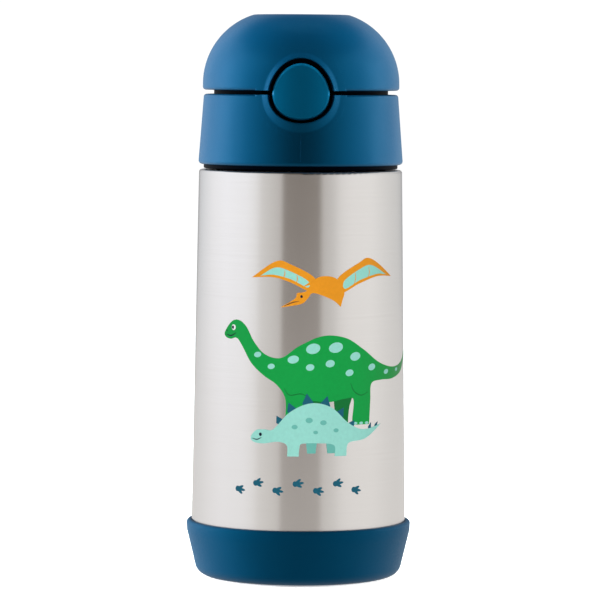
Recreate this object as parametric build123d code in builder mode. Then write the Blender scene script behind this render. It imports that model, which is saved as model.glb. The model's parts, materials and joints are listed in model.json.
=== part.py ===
from build123d import *
import os
from math import atan2, cos, degrees, radians, sin, sqrt

# Children's insulated drinking bottle: a vacuum steel flask in a silicone boot, with a screw-on
# lid base, a hinged dome over a soft spout, and a push button that releases the dome.
# The origin is at the middle of the boot's underside, +Z is up, and the button faces -Y.
# All sizes are in millimetres.

# ---------------------------------------------------------------- driving dimensions
overall_height = 190.5
boot_radius = 38.1
steel_wall = 0.6

# silicone boot
boot_floor = 2.0
boot_rim_z = 18.9

# steel flask
foot_top_radius = 36.42
foot_top_z = 17.5
foot_corner_radius = 32.85
foot_ring_radius = 29.0
shoulder_radius = 34.45
shoulder_z = 138.0
neck_radius = 28.0
mouth_z = 149.6
liner_top_radius = 30.2
liner_foot_radius = 31.8
liner_floor_z = 10.0
liner_shoulder_z = 130.0

# screw thread, right-hand
thread_pitch = 4.0
thread_turns = 1.6
thread_start_z = 140.6
thread_height = 0.9
thread_root = 2.2
thread_crest = 1.0
thread_bite = 0.15

# lid base: collar outside, threaded insert inside
collar_bottom_z = 139.8
collar_top_z = 163.5
collar_bottom_radius = 34.72
collar_top_radius = 32.92
collar_inner_radius = 31.6
insert_flange_radius = 32.9
skirt_outer_radius = 31.2
skirt_inner_radius = 29.3
deck_bottom_z = 151.3
deck_top_z = 153.2
rim_outer_radius = 29.5
rim_inner_radius = 27.9
rim_top_z = 167.2
plug_outer_radius = 26.2
plug_inner_radius = 24.6
plug_bottom_z = 146.0
flange_bottom_z = 138.4

# hinged dome
lid_bottom_z = 164.9
dome_side_radius = 33.3
dome_arc_radius = 24.48
dome_arc_z = 167.0
dome_crease_z = 190.4
dome_wall = 2.0
crease_round = 4.0
rim_round = 1.0
liner_gap = 0.1
liner_wall = 1.2

# hinge, at the back
hinge_y = 34.6
hinge_z = 164.2
barrel_radius = 2.4
pin_radius = 1.0
pin_running_gap = 0.05
pocket_radius = 2.75
base_web_roots = ((30.0, 151.5), (29.5, 162.0))
lid_web_roots = ((31.2, 165.8), (30.3, 173.0))
lid_knuckle_x = 8.4
lid_knuckle_length = 4.8
base_knuckle_x = 13.0
base_knuckle_length = 4.0
knuckle_gap = 0.15
spring_pocket_half = 5.9
leg_x = 4.9
leg_slot_half = 0.4
leg_slot_front_y = 32.3
leg_slot_back_y = 35.0

# release button, at the front
button_z = 164.25
button_mean_radius = 9.45
button_lobe = 0.30
button_reach = 15.0
button_face_radius = 33.4
button_back_radius = 31.5
button_round = 1.0
button_travel = 2.0
recess_side_gap = 0.95
recess_end_gap = 1.25
recess_rise = 0.3
pocket_floor_radius = 31.2
button_front_limit = 40.0
button_back_limit = 20.0

# latch behind the button
arm_inner_x = 6.0
arm_outer_x = 8.0
arm_front_y = -30.2
stop_outer_x = 11.3
stop_thickness = 1.0
stop_bottom_z = 155.6
latch_top_z = 161.8
rail_front_y = -26.8
rail_back_y = -19.0
rail_half_width = 1.4
rail_top_z = 158.5
spring_boss_radius = 1.1
spring_boss_length = 1.2
spring_boss_root = 0.5
spring_pad_half_width = 3.2
spring_pad_drop = 2.6
bar_bottom_z = 160.0
bar_front_y = -26.15
bar_back_y = -24.0
spring_axis_z = 159.2
spring_wall_y = -17.5
tongue_half_width = 5.0
nose_half_width = tongue_half_width - 0.5
tongue_front_y = -28.7
tongue_back_y = -27.3
nose_back_y = -26.3
nose_bottom_z = 157.5
nose_lead = 1.0
nose_root = 0.2
nose_top_z = 159.5
bay_half_width = 13.2
bay_front_y = -32.0
bay_wall = 1.2
bay_wall_top_z = 164.3

# drinking parts
spout_y = 2.0
spout_top_z = 182.0
spout_bore = 2.4
spout_hole_radius = 5.4
spout_foot_radius = 8.6
spout_lock_radius = 6.5
spout_socket_z = 142.5
straw_radius = 3.25
straw_bore = 2.5
straw_bottom_z = 12.2
straw_top_z = 151.0
vent_x = 14.0
vent_y = 10.0
vent_hole_radius = 1.1
vent_cap_radius = 3.0

spout_axis = Axis((0, spout_y, 0), (0, 0, 1))

os.makedirs("parts", exist_ok=True)


def section(*corners):
    """Fill the outline whose corners are given as (across, up, corner radius)."""
    with BuildLine() as outline:
        FilletPolyline(*[c[:2] for c in corners], radius=[c[2] for c in corners], close=True)
    make_face(outline.edges())


def wall_section(thickness, *corners):
    """Fill a strip of even thickness on the right of an open line of (across, up, corner radius)."""
    with BuildLine() as outline:
        FilletPolyline(*[c[:2] for c in corners], radius=[c[2] for c in corners[1:-1]])
        offset(amount=thickness, side=Side.RIGHT)
    make_face(outline.edges())


def block(x_range, y_range, z_range, mode=Mode.ADD):
    """Add a block between these limits to the part being built, or cut it away."""
    with BuildSketch(Plane.XY.offset(z_range[0])) as footprint:
        with Locations((sum(x_range) / 2, sum(y_range) / 2)):
            Rectangle(x_range[1] - x_range[0], y_range[1] - y_range[0])
    extrude(footprint.sketch, amount=z_range[1] - z_range[0], mode=mode)


def dome_section(inset):
    """Fill the half-section of everything under the dome's skin, less an even inset."""
    arc = dome_arc_radius - inset
    arc_x = dome_side_radius - dome_arc_radius
    rise = dome_crease_z - inset - dome_arc_z
    crease_x = arc_x + sqrt(arc**2 - rise**2)
    crown = overall_height - inset
    with BuildLine() as outline:
        side = Line((arc_x + arc, lid_bottom_z), (arc_x + arc, dome_arc_z))
        shoulder = CenterArc((arc_x, dome_arc_z), arc, 0, degrees(atan2(rise, crease_x - arc_x)))
        top = Line(shoulder @ 1, (0, crown))
        Polyline(top @ 1, (0, lid_bottom_z), side @ 0)
    make_face(outline.edges())


def button_outline(side_gap=0.0, end_gap=0.0, rise=0.0):
    """Fill the button's rounded three-cornered outline, one corner up, grown by the gaps and raised."""
    grow_x = (button_mean_radius + side_gap) / button_mean_radius
    grow_z = (button_mean_radius + end_gap) / button_mean_radius
    edge_points = []
    for step in range(24):
        angle = radians(15 * step)
        reach = button_mean_radius - button_lobe * sin(3 * angle)
        edge_points.append((reach * cos(angle) * grow_x, button_z + rise + reach * sin(angle) * grow_z))
    with BuildLine() as outline:
        Spline(*edge_points, periodic=True)
    make_face(outline.edges())


def thread_ridge(root_radius, outward, start_angle):
    """Sweep one trapezoid ridge along the screw helix, standing outward or inward from a wall."""
    root = root_radius - outward * thread_bite
    crest = root_radius + outward * thread_height
    with BuildLine() as helix:
        Helix(thread_pitch, thread_pitch * thread_turns, root_radius, center=(0, 0, thread_start_z))
    with BuildSketch(Plane(origin=(0, 0, thread_start_z), x_dir=(1, 0, 0), z_dir=(0, -1, 0))) as ridge:
        section(
            (root, -thread_root / 2, 0),
            (crest, -thread_crest / 2, 0),
            (crest, thread_crest / 2, 0),
            (root, thread_root / 2, 0),
        )
    turns = sweep(ridge.sketch, path=helix.line, is_frenet=True, mode=Mode.PRIVATE)
    add(turns.rotate(Axis.Z, start_angle))


def coil(plane, mean_radius, wire_radius, length, pitch):
    """Add a round wire wound along a helix from the plane's origin, along the plane's normal."""
    with BuildLine() as helix:
        Helix(pitch, length, mean_radius)
    with BuildSketch(Plane(origin=(mean_radius, 0, 0), x_dir=(1, 0, 0), z_dir=(0, 1, 0))) as wire:
        Circle(wire_radius)
    turns = sweep(wire.sketch, path=helix.line, is_frenet=True, mode=Mode.PRIVATE)
    add(plane.location * turns)


def straight_wire(start, end, wire_radius):
    """Add a straight piece of round wire."""
    run = Vector(*end) - Vector(*start)
    with BuildSketch(Plane(origin=start, z_dir=run)) as wire:
        Circle(wire_radius)
    extrude(wire.sketch, amount=run.length)


def barrel_outline(low_root, high_root):
    """Fill a hinge barrel's outline with its web, which runs back to two points inside the wall."""
    with Locations((hinge_y, hinge_z)):
        Circle(barrel_radius)
    with BuildLine() as web:
        Polyline(low_root, high_root, (hinge_y, hinge_z), close=True)
    make_face(web.edges())
    make_hull()


# ---------------------------------------------------------------- steel flask
foot_line = [
    (foot_top_radius, foot_top_z, 2.0),
    (foot_corner_radius, boot_floor, 3.5),
    (foot_ring_radius, boot_floor, 0),
]

with BuildPart() as outer_shell:
    with BuildSketch(Plane.XZ):
        wall_section(
            steel_wall,
            (neck_radius, mouth_z - steel_wall, 0),
            (neck_radius, shoulder_z, 0.8),
            (shoulder_radius, shoulder_z, 0.9),
            *foot_line,
        )
    revolve(axis=Axis.Z)
    thread_ridge(neck_radius, 1, 0)
outer_shell.part.label = "outer_shell"
export_step(outer_shell.part, "parts/outer_shell.step")

# The liner hangs from the mouth, where its rolled lip is welded over the outer shell's neck.
mouth_radius = neck_radius - 2 * steel_wall
with BuildPart() as inner_liner:
    with BuildSketch(Plane.XZ):
        wall_section(
            steel_wall,
            (0, liner_floor_z, 0),
            (liner_foot_radius, liner_floor_z, 8),
            (liner_top_radius, liner_shoulder_z, 4),
            (mouth_radius, liner_shoulder_z + 8, 3),
            (mouth_radius, mouth_z, 0),
            (neck_radius, mouth_z, 0),
        )
    revolve(axis=Axis.Z)
inner_liner.part.label = "inner_liner"
export_step(inner_liner.part, "parts/inner_liner.step")

# A disc closes the bottom, with a dimple at the middle where the air is drawn out.
dimple_radius = 5.0
dimple_top_z = boot_floor + 1.2
with BuildPart() as outer_base:
    with BuildSketch(Plane.XZ):
        wall_section(
            steel_wall,
            (foot_ring_radius, boot_floor, 0),
            (dimple_radius + 2, boot_floor, 1),
            (dimple_radius, dimple_top_z, 1),
            (0, dimple_top_z, 0),
        )
    revolve(axis=Axis.Z)
outer_base.part.label = "outer_base"
export_step(outer_base.part, "parts/outer_base.step")

bead_radius = 2.5
bead_height = 0.8
with BuildPart() as vacuum_seal_bead:
    with BuildSketch(Plane.XY.offset(dimple_top_z - bead_height)):
        Circle(bead_radius)
    extrude(amount=bead_height)
    fillet(vacuum_seal_bead.edges().sort_by(Axis.Z)[0], 0.5)
vacuum_seal_bead.part.label = "vacuum_seal_bead"
export_step(vacuum_seal_bead.part, "parts/vacuum_seal_bead.step")

getter_radius = 4.0
getter_height = 1.2
with BuildPart() as getter_pad:
    with BuildSketch(Plane.XY.offset(dimple_top_z + steel_wall)):
        Circle(getter_radius)
    extrude(amount=getter_height)
getter_pad.part.label = "getter_pad"
export_step(getter_pad.part, "parts/getter_pad.step")

# The boot widens upward to a soft round rim, and stands on a flat ring around a shallow recess.
foot_recess = 0.5
foot_recess_radius = 22.0
boot_foot_radius = 34.25
boot_swell_z = 15.8
with BuildPart() as silicone_boot:
    with BuildSketch(Plane.XZ):
        section(
            (0, foot_recess, 0),
            (foot_recess_radius, foot_recess, 0),
            (foot_recess_radius + foot_recess, 0, 0),
            (boot_foot_radius, 0, 4.5),
            (boot_radius, boot_swell_z, 12),
            (boot_radius, boot_rim_z, 1.1),
            (foot_top_radius + 0.2, boot_rim_z, 0.2),
            (foot_top_radius, boot_rim_z - 0.6, 0),
            (foot_top_radius, foot_top_z, 2.0),
            (foot_corner_radius, boot_floor, 3.5),
            (0, boot_floor, 0),
        )
    revolve(axis=Axis.Z)
silicone_boot.part.label = "silicone_boot"
export_step(silicone_boot.part, "parts/silicone_boot.step")

# ---------------------------------------------------------------- mouth gasket
gasket_gap = 0.25
gasket_top_gap = 0.15
gasket_round = 0.3
gasket_inner_radius = mouth_radius - 0.3
gasket_outer_radius = skirt_inner_radius - 0.3
with BuildPart() as body_gasket:
    with BuildSketch(Plane.XZ):
        section(
            (gasket_inner_radius, mouth_z + gasket_gap, gasket_round),
            (gasket_outer_radius, mouth_z + gasket_gap, gasket_round),
            (gasket_outer_radius, deck_bottom_z - gasket_top_gap, gasket_round),
            (gasket_inner_radius, deck_bottom_z - gasket_top_gap, gasket_round),
        )
    revolve(axis=Axis.Z)
body_gasket.part.label = "body_gasket"
export_step(body_gasket.part, "parts/body_gasket.step")

# ---------------------------------------------------------------- room for the button
# The space that the button moves in: its outline grown by the gap, back to a curved floor that
# stands just behind the button's own back at full travel.
with BuildPart() as button_room:
    with BuildSketch(Plane.XZ.offset(button_back_limit)):
        button_outline(recess_side_gap, recess_end_gap, recess_rise)
    extrude(amount=button_front_limit - button_back_limit)
    with BuildSketch(Plane.XY.offset(button_z - button_reach)):
        with Locations((0, button_travel)):
            Circle(pocket_floor_radius)
    extrude(amount=2 * button_reach, mode=Mode.SUBTRACT)

# ---------------------------------------------------------------- lid base
collar_ledge_z = latch_top_z + 0.2
collar_ledge_radius = rim_outer_radius + 0.15
with BuildPart() as collar_shell:
    with BuildSketch(Plane.XZ):
        section(
            (insert_flange_radius, collar_bottom_z, 0.3),
            (collar_bottom_radius, collar_bottom_z, 1.2),
            (collar_top_radius, collar_top_z, 0),
            (collar_ledge_radius, collar_top_z, 0.2),
            (collar_ledge_radius, collar_ledge_z, 0),
            (collar_inner_radius, collar_ledge_z, 0.3),
        )
    revolve(axis=Axis.Z)
    add(button_room.part, mode=Mode.SUBTRACT)
    notch_rim = collar_shell.edges().filter_by(GeomType.BSPLINE).sort_by(Axis.Y)[0]
    top_circles = collar_shell.edges().filter_by(GeomType.CIRCLE).group_by(Axis.Z)[-1]
    top_rim = top_circles.filter_by(lambda edge: edge.radius > collar_inner_radius)
    fillet([notch_rim] + top_rim, rim_round)
    with BuildSketch(Plane.YZ):
        with Locations((hinge_y, hinge_z)):
            Circle(pocket_radius)
    knuckle_span = lid_knuckle_x + lid_knuckle_length / 2 + knuckle_gap
    extrude(amount=knuckle_span, both=True, mode=Mode.SUBTRACT)
    for knuckle_x in (-base_knuckle_x, base_knuckle_x):
        with BuildSketch(Plane.YZ.offset(knuckle_x)):
            barrel_outline(*base_web_roots)
        extrude(amount=base_knuckle_length / 2, both=True)
    with BuildSketch(Plane.YZ):
        with Locations((hinge_y, hinge_z)):
            Circle(pin_radius)
    extrude(amount=collar_inner_radius, both=True, mode=Mode.SUBTRACT)
    leg_slot_x = (leg_x - leg_slot_half, leg_x + leg_slot_half)
    block(leg_slot_x, (leg_slot_front_y, leg_slot_back_y), (157, collar_top_z), mode=Mode.SUBTRACT)
collar_shell.part.label = "collar_shell"
export_step(collar_shell.part, "parts/collar_shell.step")

# The insert carries the thread, the deck that the spout stands in, the raised rim around it and,
# at the front, the bay that the latch slides in.
with BuildPart() as threaded_insert:
    with BuildSketch(Plane.XZ):
        section(
            (0, deck_bottom_z, 0),
            (plug_inner_radius, deck_bottom_z, 0.5),
            (plug_inner_radius, plug_bottom_z, 0.4),
            (plug_outer_radius, plug_bottom_z, 0.4),
            (plug_outer_radius, deck_bottom_z, 0),
            (skirt_inner_radius, deck_bottom_z, 0),
            (skirt_inner_radius, flange_bottom_z, 0),
            (insert_flange_radius, flange_bottom_z, 0.4),
            (insert_flange_radius, collar_bottom_z, 0),
            (skirt_outer_radius, collar_bottom_z, 0),
            (skirt_outer_radius, deck_top_z, 0.4),
            (rim_outer_radius, deck_top_z, 0),
            (rim_outer_radius, rim_top_z, 0.6),
            (rim_inner_radius, rim_top_z, 0.6),
            (rim_inner_radius, deck_top_z, 1.0),
            (0, deck_top_z, 0),
        )
    revolve(axis=Axis.Z)
    thread_ridge(skirt_inner_radius, -1, 180)
    bay_x = (-bay_half_width, bay_half_width)
    block(bay_x, (bay_front_y, spring_wall_y), (deck_top_z, rim_top_z), mode=Mode.SUBTRACT)
    with BuildSketch(Plane.XY.offset(deck_top_z)):
        with BuildLine():
            Polyline(
                (-bay_half_width, bay_front_y),
                (-bay_half_width, spring_wall_y),
                (bay_half_width, spring_wall_y),
                (bay_half_width, bay_front_y),
            )
            offset(amount=bay_wall, side=Side.LEFT)
        make_face()
        with BuildSketch(mode=Mode.INTERSECT):
            Circle(rim_outer_radius)
    extrude(amount=bay_wall_top_z - deck_top_z)
    for rail_x in (-(arm_inner_x + arm_outer_x) / 2, (arm_inner_x + arm_outer_x) / 2):
        rail_sides = (rail_x - rail_half_width, rail_x + rail_half_width)
        block(rail_sides, (rail_front_y, rail_back_y), (deck_top_z, rail_top_z))
    with BuildSketch(Plane.XZ.offset(-spring_wall_y)):
        with Locations((0, spring_axis_z)):
            Circle(spring_boss_radius)
    extrude(amount=spring_boss_length)
    with Locations((0, spout_y, deck_top_z)):
        Hole(spout_hole_radius, depth=deck_top_z - deck_bottom_z)
    with Locations((vent_x, vent_y, deck_top_z)):
        Hole(vent_hole_radius, depth=deck_top_z - deck_bottom_z)
threaded_insert.part.label = "threaded_insert"
export_step(threaded_insert.part, "parts/threaded_insert.step")

spout_plane = Plane(origin=(0, spout_y, 0), x_dir=(1, 0, 0), z_dir=(0, -1, 0))
spout_tip_radius = 4.6
spout_bead_radius = 5.8
spout_bead_z = 178.4
spout_neck_radius = 4.8
spout_neck_z = 174.8
spout_stem_radius = 5.3
spout_stem_z = 160.0
spout_flare_radius = 6.6
spout_flare_z = 155.8
spout_brim_z = 154.9
spout_lock_z = 149.8
spout_tail_radius = 5.0
spout_tail_z = 148.6
spout_end_radius = 4.9
with BuildPart() as spout:
    with BuildSketch(spout_plane):
        section(
            (spout_bore, spout_top_z, 0.5),
            (spout_tip_radius, spout_top_z, 1.2),
            (spout_bead_radius, spout_bead_z, 1.5),
            (spout_neck_radius, spout_neck_z, 1.5),
            (spout_stem_radius, spout_stem_z, 4),
            (spout_flare_radius, spout_flare_z, 1.5),
            (spout_foot_radius, spout_brim_z, 0.5),
            (spout_foot_radius, deck_top_z, 0),
            (spout_hole_radius, deck_top_z, 0),
            (spout_hole_radius, deck_bottom_z, 0),
            (spout_lock_radius, deck_bottom_z, 0.3),
            (spout_lock_radius, spout_lock_z, 0.6),
            (spout_tail_radius, spout_tail_z, 0.5),
            (spout_end_radius, spout_socket_z, 0.5),
            (straw_radius, spout_socket_z, 0),
            (straw_radius, straw_top_z, 0),
            (spout_bore, straw_top_z + 1, 0),
        )
    revolve(axis=spout_axis)
spout.part.label = "spout"
export_step(spout.part, "parts/spout.step")

with BuildPart() as straw:
    with BuildSketch(spout_plane):
        section(
            (straw_bore, straw_bottom_z, 0),
            (straw_radius, straw_bottom_z, 0),
            (straw_radius, straw_top_z, 0),
            (straw_bore, straw_top_z, 0),
        )
    revolve(axis=spout_axis)
    cut_face = Plane(origin=(0, spout_y, straw_bottom_z + straw_radius), z_dir=(1, 0, -1))
    split(bisect_by=cut_face, keep=Keep.BOTTOM)
straw.part.label = "straw"
export_step(straw.part, "parts/straw.step")

vent_top_z = deck_top_z + 1.2
vent_top_radius = 1.6
vent_brim_z = deck_top_z + 0.5
vent_lock_radius = 2.2
vent_lock_end_radius = 2.0
vent_lock_end_z = deck_bottom_z - 1.5
vent_tip_radius = 0.8
vent_tip_z = deck_bottom_z - 4.0
with BuildPart() as vent_valve:
    with BuildSketch(Plane(origin=(vent_x, vent_y, 0), x_dir=(1, 0, 0), z_dir=(0, -1, 0))):
        section(
            (0, vent_top_z, 0),
            (vent_top_radius, vent_top_z, 0.4),
            (vent_cap_radius, vent_brim_z, 0.2),
            (vent_cap_radius, deck_top_z, 0),
            (vent_hole_radius, deck_top_z, 0),
            (vent_hole_radius, deck_bottom_z, 0),
            (vent_lock_radius, deck_bottom_z, 0.2),
            (vent_lock_end_radius, vent_lock_end_z, 0.3),
            (vent_tip_radius, vent_tip_z, 0.2),
            (0, vent_tip_z, 0),
        )
    revolve(axis=Axis((vent_x, vent_y, 0), (0, 0, 1)))
vent_valve.part.label = "vent_valve"
export_step(vent_valve.part, "parts/vent_valve.step")

# ---------------------------------------------------------------- hinge pin and lid spring
pin_half_length = base_knuckle_x + base_knuckle_length / 2
with BuildPart() as hinge_pin:
    with BuildSketch(Plane.YZ):
        with Locations((hinge_y, hinge_z)):
            Circle(pin_radius)
    extrude(amount=pin_half_length, both=True)
    chamfer(hinge_pin.edges().filter_by(GeomType.CIRCLE), 0.2)
hinge_pin.part.label = "hinge_pin"
export_step(hinge_pin.part, "parts/hinge_pin.step")

coil_radius = 1.7
spring_wire = 0.3
lid_spring_turns = 9
lid_leg_length = 5.0
base_leg_length = 6.0
with BuildPart() as lid_spring:
    coil_start = Plane(origin=(-leg_x, hinge_y, hinge_z), x_dir=(0, -1, 0), z_dir=(1, 0, 0))
    coil(coil_start, coil_radius, spring_wire, 2 * leg_x, 2 * leg_x / lid_spring_turns)
    leg_y = hinge_y - coil_radius
    straight_wire((-leg_x, leg_y, hinge_z), (-leg_x, leg_y, hinge_z + lid_leg_length), spring_wire)
    straight_wire((leg_x, leg_y, hinge_z), (leg_x, leg_y, hinge_z - base_leg_length), spring_wire)
lid_spring.part.label = "lid_spring"
export_step(lid_spring.part, "parts/lid_spring.step")

# ---------------------------------------------------------------- hinged lid
with BuildPart() as lid_shell:
    with BuildSketch(Plane.XZ):
        dome_section(0)
    revolve(axis=Axis.Z)
    fillet(lid_shell.edges().filter_by(GeomType.CIRCLE).sort_by(Axis.Z)[-1], crease_round)
    with BuildSketch(Plane.XZ):
        dome_section(dome_wall)
    revolve(axis=Axis.Z, mode=Mode.SUBTRACT)
    add(button_room.part, mode=Mode.SUBTRACT)
    front_edges = lid_shell.edges().filter_by(GeomType.BSPLINE).filter_by_position(Axis.Y, -34, -31.2)
    notch_rim = front_edges.filter_by(lambda edge: edge.center().Z > lid_bottom_z + 0.5)
    low_circles = lid_shell.edges().filter_by(GeomType.CIRCLE).group_by(Axis.Z)[0]
    low_rim = low_circles.filter_by(lambda edge: edge.radius > dome_side_radius - 1)
    fillet(notch_rim + low_rim, rim_round)
    with BuildSketch(Plane.YZ.offset(-spring_pocket_half)):
        with Locations((hinge_y, hinge_z)):
            Circle(pocket_radius - 0.1)
    extrude(amount=2 * spring_pocket_half, mode=Mode.SUBTRACT)
    for knuckle_x in (-lid_knuckle_x, lid_knuckle_x):
        with BuildSketch(Plane.YZ.offset(knuckle_x)):
            barrel_outline(*lid_web_roots)
        extrude(amount=lid_knuckle_length / 2, both=True)
    with BuildSketch(Plane.YZ):
        with Locations((hinge_y, hinge_z)):
            Circle(pin_radius + pin_running_gap)
    extrude(amount=base_knuckle_x, both=True, mode=Mode.SUBTRACT)
    leg_slot_x = (-leg_x - leg_slot_half, -leg_x + leg_slot_half)
    block(leg_slot_x, (leg_slot_front_y, leg_slot_back_y), (lid_bottom_z - 1, 170), mode=Mode.SUBTRACT)
lid_shell.part.label = "lid_shell"
export_step(lid_shell.part, "parts/lid_shell.step")

# A walled pocket in the liner backs the button; the latch tongue hangs from it.
liner_inset = dome_wall + liner_gap
pocket_wall = 1.2
with BuildPart() as button_pocket:
    with BuildSketch(Plane.XZ.offset(button_back_limit)):
        button_outline(recess_side_gap + pocket_wall, recess_end_gap + pocket_wall, recess_rise)
    extrude(amount=button_front_limit - button_back_limit)
    with BuildSketch(Plane.XZ):
        dome_section(liner_inset)
    revolve(axis=Axis.Z, mode=Mode.INTERSECT)
    with BuildSketch(Plane.XY.offset(lid_bottom_z)):
        with Locations((0, button_travel)):
            Circle(pocket_floor_radius - pocket_wall)
    extrude(amount=20, mode=Mode.SUBTRACT)

with BuildPart() as lid_liner:
    with BuildSketch(Plane.XZ):
        dome_section(liner_inset)
    revolve(axis=Axis.Z)
    with BuildSketch(Plane.XZ):
        dome_section(liner_inset + liner_wall)
    revolve(axis=Axis.Z, mode=Mode.SUBTRACT)
    add(button_pocket.part)
    add(button_room.part, mode=Mode.SUBTRACT)
    block(
        (-tongue_half_width, tongue_half_width),
        (tongue_front_y, tongue_back_y),
        (nose_bottom_z, lid_bottom_z + 3),
    )
    with BuildSketch(Plane.YZ.offset(-nose_half_width)):
        with BuildLine():
            Polyline(
                (tongue_back_y - nose_root, nose_bottom_z),
                (tongue_back_y, nose_bottom_z),
                (nose_back_y, nose_bottom_z + nose_lead),
                (nose_back_y, nose_top_z),
                (tongue_back_y - nose_root, nose_top_z),
                close=True,
            )
        make_face()
    extrude(amount=2 * nose_half_width)
lid_liner.part.label = "lid_liner"
export_step(lid_liner.part, "parts/lid_liner.step")

pad_radius = 7.5
pad_round = 0.8
pad_bottom_z = spout_top_z + 0.3
pad_top_z = dome_crease_z - liner_inset - liner_wall
with BuildPart() as spout_seal_pad:
    with BuildSketch(Plane.XY.offset(pad_bottom_z)):
        with Locations((0, spout_y)):
            Circle(pad_radius)
    extrude(amount=pad_top_z - pad_bottom_z)
    fillet(spout_seal_pad.edges().sort_by(Axis.Z)[0], pad_round)
spout_seal_pad.part.label = "spout_seal_pad"
export_step(spout_seal_pad.part, "parts/spout_seal_pad.step")

# ---------------------------------------------------------------- release button
with BuildPart() as release_button:
    with BuildSketch(Plane.XZ.offset(button_back_limit)):
        button_outline()
    extrude(amount=button_front_limit - button_back_limit)
    with BuildSketch(Plane.XY.offset(button_z - button_reach)):
        Circle(button_face_radius)
    extrude(amount=2 * button_reach, mode=Mode.INTERSECT)
    with BuildSketch(Plane.XY.offset(button_z - button_reach)):
        Circle(button_back_radius)
    extrude(amount=2 * button_reach, mode=Mode.SUBTRACT)
    fillet(release_button.edges().filter_by(GeomType.BSPLINE).sort_by(Axis.Y)[0], button_round)
release_button.part.label = "release_button"
export_step(release_button.part, "parts/release_button.step")

arm_bottom_z = rail_top_z + 0.1
with BuildPart() as latch_frame:
    with BuildSketch(Plane.XY.offset(stop_bottom_z)):
        with Locations((0, arm_front_y)):
            Rectangle(2 * stop_outer_x, stop_outer_x)
            Rectangle(2 * arm_inner_x, stop_outer_x, mode=Mode.SUBTRACT)
        Circle(button_back_radius - stop_thickness, mode=Mode.SUBTRACT)
        with BuildSketch(mode=Mode.INTERSECT):
            Circle(button_back_radius)
    extrude(amount=latch_top_z - stop_bottom_z)
    for side in (-1, 1):
        arm_x = sorted((side * arm_inner_x, side * arm_outer_x))
        block(arm_x, (arm_front_y, bar_back_y), (arm_bottom_z, latch_top_z))
    block((-arm_outer_x, arm_outer_x), (bar_front_y, bar_back_y), (bar_bottom_z, latch_top_z))
    pad_x = (-spring_pad_half_width, spring_pad_half_width)
    block(pad_x, (bar_front_y + 1, bar_back_y), (spring_axis_z - spring_pad_drop, latch_top_z))
    with BuildSketch(Plane.XZ.offset(-bar_back_y + spring_boss_root)):
        with Locations((0, spring_axis_z)):
            Circle(spring_boss_radius)
    extrude(amount=-spring_boss_root - spring_boss_length)
latch_frame.part.label = "latch_frame"
export_step(latch_frame.part, "parts/latch_frame.step")

button_spring_pitch = 1.3
with BuildPart() as button_spring:
    wound_length = spring_wall_y - bar_back_y - 2 * spring_wire
    wound_from = (0, bar_back_y + spring_wire, spring_axis_z)
    spring_start = Plane(origin=wound_from, x_dir=(1, 0, 0), z_dir=(0, 1, 0))
    coil(spring_start, coil_radius, spring_wire, wound_length, button_spring_pitch)
button_spring.part.label = "button_spring"
export_step(button_spring.part, "parts/button_spring.step")
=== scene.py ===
import json
from math import atan2, cos, pi, radians, sin

import bmesh
import bpy
from mathutils import Matrix, Vector
from mathutils.geometry import tessellate_polygon


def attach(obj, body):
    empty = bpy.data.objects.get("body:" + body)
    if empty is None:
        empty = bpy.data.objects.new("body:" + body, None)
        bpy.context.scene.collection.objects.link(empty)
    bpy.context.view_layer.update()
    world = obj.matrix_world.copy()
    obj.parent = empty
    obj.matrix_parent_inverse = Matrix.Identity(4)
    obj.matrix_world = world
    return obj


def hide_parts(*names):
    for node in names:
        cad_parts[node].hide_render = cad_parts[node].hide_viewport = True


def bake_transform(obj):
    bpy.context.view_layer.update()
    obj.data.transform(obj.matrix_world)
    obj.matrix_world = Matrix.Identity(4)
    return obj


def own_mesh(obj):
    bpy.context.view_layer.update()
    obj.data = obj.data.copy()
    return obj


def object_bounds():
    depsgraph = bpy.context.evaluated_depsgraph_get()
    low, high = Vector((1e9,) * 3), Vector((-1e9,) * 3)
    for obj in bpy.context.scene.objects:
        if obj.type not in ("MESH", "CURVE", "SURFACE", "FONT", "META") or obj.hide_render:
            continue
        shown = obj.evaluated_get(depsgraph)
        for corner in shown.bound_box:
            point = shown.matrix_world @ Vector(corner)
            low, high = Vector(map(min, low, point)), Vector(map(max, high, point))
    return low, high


# The looks of a children's insulated straw bottle. +Z is up and the button faces -Y. Blender's lengths are
# in metres. Profiles and pictures are worked out in millimetres and scaled by MM.

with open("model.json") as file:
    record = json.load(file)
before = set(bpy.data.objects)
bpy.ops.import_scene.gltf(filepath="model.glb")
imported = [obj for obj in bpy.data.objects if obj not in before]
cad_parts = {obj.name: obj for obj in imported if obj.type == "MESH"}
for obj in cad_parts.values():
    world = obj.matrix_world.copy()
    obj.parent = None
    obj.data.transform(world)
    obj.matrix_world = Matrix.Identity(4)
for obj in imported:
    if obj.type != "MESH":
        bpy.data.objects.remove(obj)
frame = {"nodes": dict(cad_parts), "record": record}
cad_low, cad_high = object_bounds()
MM = 0.001
WELD = 1e-6

# ---------------------------------------------------------------- camera
CAMERA_ASIDE = 0.0001
CAMERA_DISTANCE = 1.310
CAMERA_HEIGHT = 0.1734
CAMERA_PITCH = radians(3.485)
CAMERA_ROLL = radians(0.38)
LENS = 231.5
SENSOR = 36.0


def add_camera():
    """A long lens a little above the button, looking slightly down."""
    data = bpy.data.cameras.new("camera")
    data.lens = LENS
    data.sensor_width = SENSOR
    camera = bpy.data.objects.new("camera", data)
    tilt = Matrix.Rotation(pi / 2 - CAMERA_PITCH, 4, "X") @ Matrix.Rotation(CAMERA_ROLL, 4, "Z")
    camera.matrix_world = Matrix.Translation((CAMERA_ASIDE, -CAMERA_DISTANCE, CAMERA_HEIGHT)) @ tilt
    bpy.context.collection.objects.link(camera)
    bpy.context.scene.camera = camera


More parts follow.
